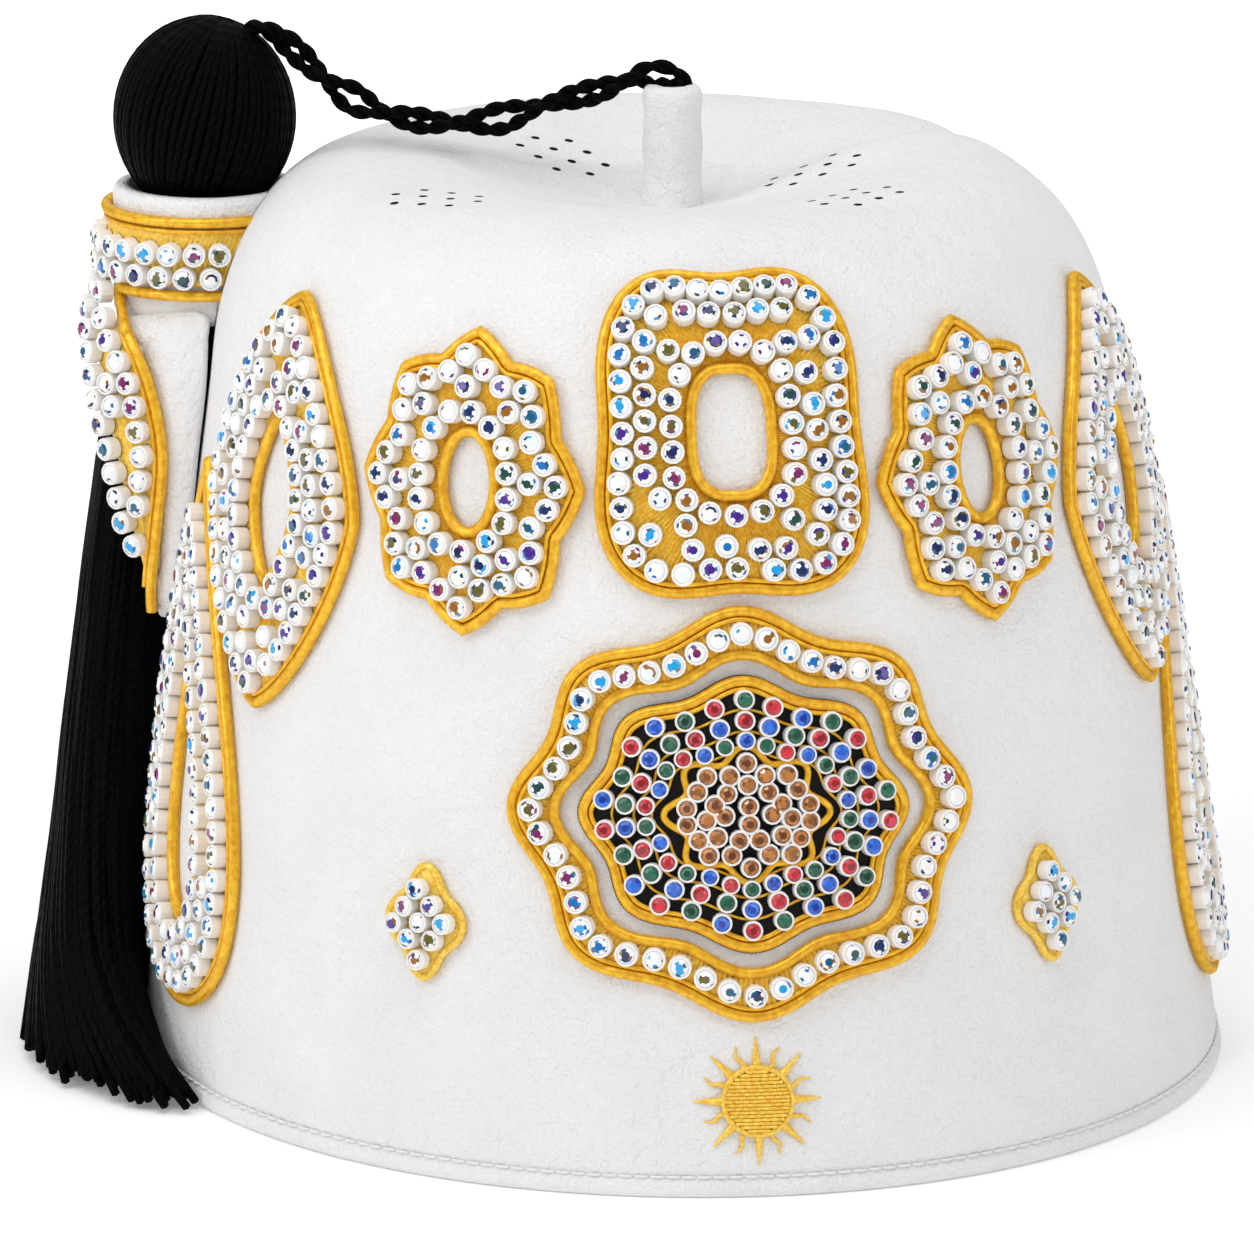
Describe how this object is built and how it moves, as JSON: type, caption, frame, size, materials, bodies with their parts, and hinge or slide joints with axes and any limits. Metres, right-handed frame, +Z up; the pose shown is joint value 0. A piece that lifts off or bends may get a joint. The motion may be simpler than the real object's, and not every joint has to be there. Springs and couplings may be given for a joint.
{
  "type": "fez",
  "caption": "White felt fez with jewelled appliques and gold cord trim, and a black tassel on a short cord from its stem.",
  "frame": {"origin": "on the surface the rim rests on, under the middle of the whole hat with its tassel", "axes": "+Z up, the front of the hat faces -Y, the tassel hangs on the -X side"},
  "size_m": [0.1978, 0.203, 0.1677],
  "materials": {
    "white_felt": "dense matt wool felt",
    "black_leather": "smooth",
    "black_felt": "matt felt with gold couching",
    "black_yarn": "twisted rayon yarn",
    "gold_thread": "metallic bullion cord and satin stitch",
    "clear_stones": "foiled clear crystals in white cups",
    "topaz_stones": "foiled topaz crystals in pale cups",
    "coloured_stones": "foiled red, green and blue crystals in white cups"
  },
  "bodies": {
    "root": {"crown": "white_felt", "sweatband": "black_leather", "stem": "white_felt", "centre_quatrefoil_pad": "gold_thread", "centre_quatrefoil_stones": "clear_stones", "left_star_pad": "gold_thread", "left_star_stones": "clear_stones", "right_star_pad": "gold_thread", "right_star_stones": "clear_stones", "left_lozenge_pad": "gold_thread", "left_lozenge_stones": "clear_stones", "right_lozenge_pad": "gold_thread", "right_lozenge_stones": "clear_stones", "left_drop_pad": "gold_thread", "left_drop_stones": "clear_stones", "right_drop_pad": "gold_thread", "right_drop_stones": "clear_stones", "frame_pad": "gold_thread", "frame_stones": "clear_stones", "medallion_ground": "black_felt", "medallion_heart_stones": "topaz_stones", "medallion_petal_stones": "coloured_stones", "sunburst": "gold_thread", "left_small_flower": "clear_stones", "right_small_flower": "clear_stones", "tassel_ball": "black_yarn", "tassel_skirt": "black_yarn", "tassel_cord": "black_yarn", "tassel_holder": "white_felt", "holder_upper_cord": "gold_thread", "holder_lower_cord": "gold_thread", "holder_stones": "clear_stones", "tongue": "white_felt", "tongue_pad": "gold_thread", "tongue_stones": "clear_stones"}
  },
  "joints": []
}
